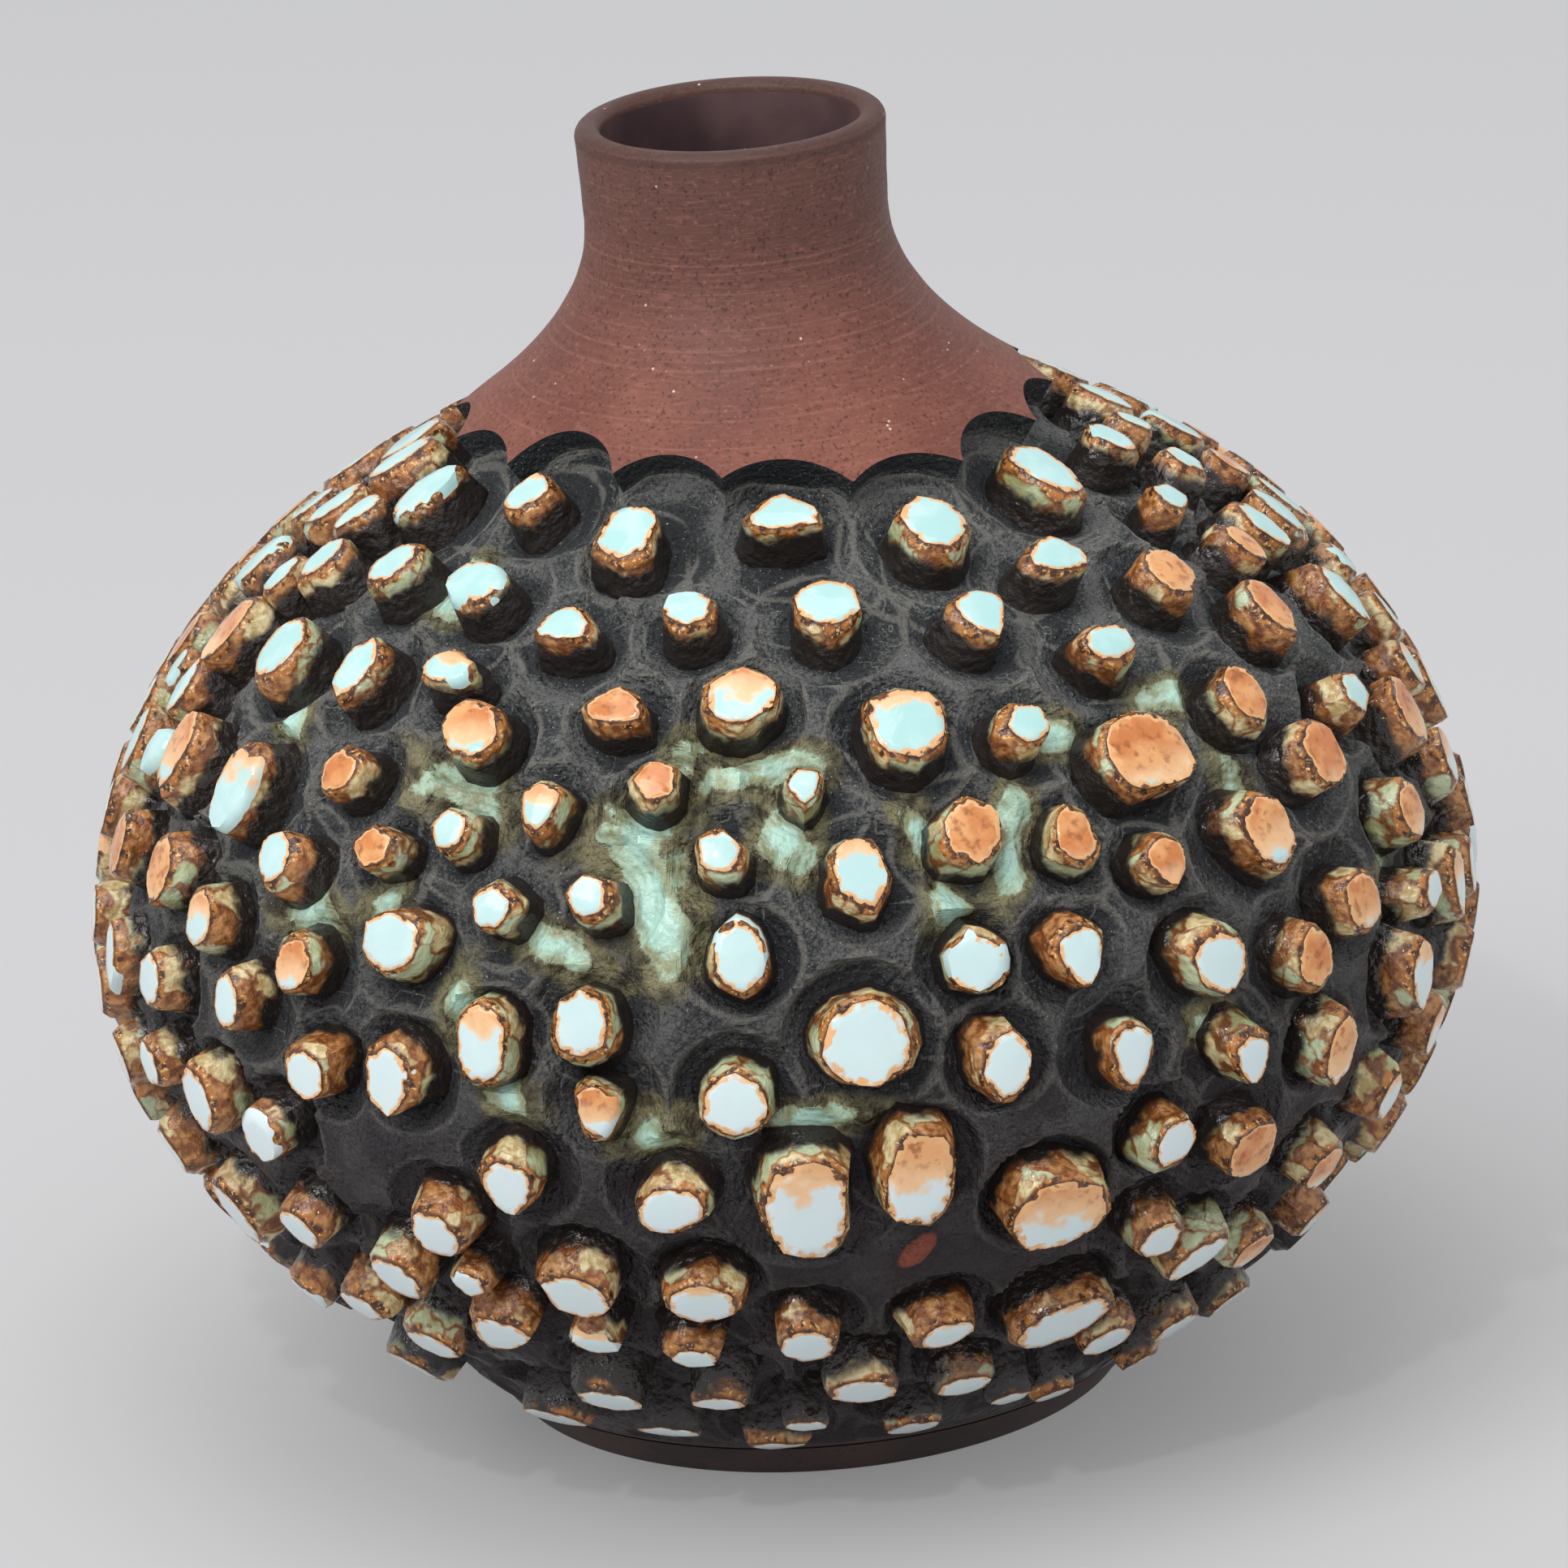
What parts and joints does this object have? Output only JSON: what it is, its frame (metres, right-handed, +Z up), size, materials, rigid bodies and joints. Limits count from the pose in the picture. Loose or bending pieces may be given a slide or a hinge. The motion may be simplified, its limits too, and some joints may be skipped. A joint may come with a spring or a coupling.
{
  "type": "onion vase",
  "caption": "Squat onion-shaped stoneware vase with a short open neck and a carved body covered in raised glazed studs; holds stems or stands as an ornament.",
  "frame": {"origin": "centre of the foot, on the table", "axes": "+Z up along the vase's axis, -Y towards the pictured front, +X to the right of it"},
  "size_m": [0.2303, 0.2309, 0.216],
  "materials": {
    "bare_clay": "unglazed red-brown stoneware, matt, with fine turning lines",
    "foot_clay": "unglazed dark stoneware, smooth",
    "carved_clay": "matt black carved ground under glossy turquoise studs that break to brown and orange"
  },
  "bodies": {
    "root": {"foot_ring": "foot_clay", "base_disc": "bare_clay", "lower_bowl": "carved_clay", "upper_bowl": "carved_clay", "neck_collar": "bare_clay", "floor_coil": "bare_clay", "belly_coil": "bare_clay", "neck_coil": "bare_clay"}
  },
  "joints": []
}
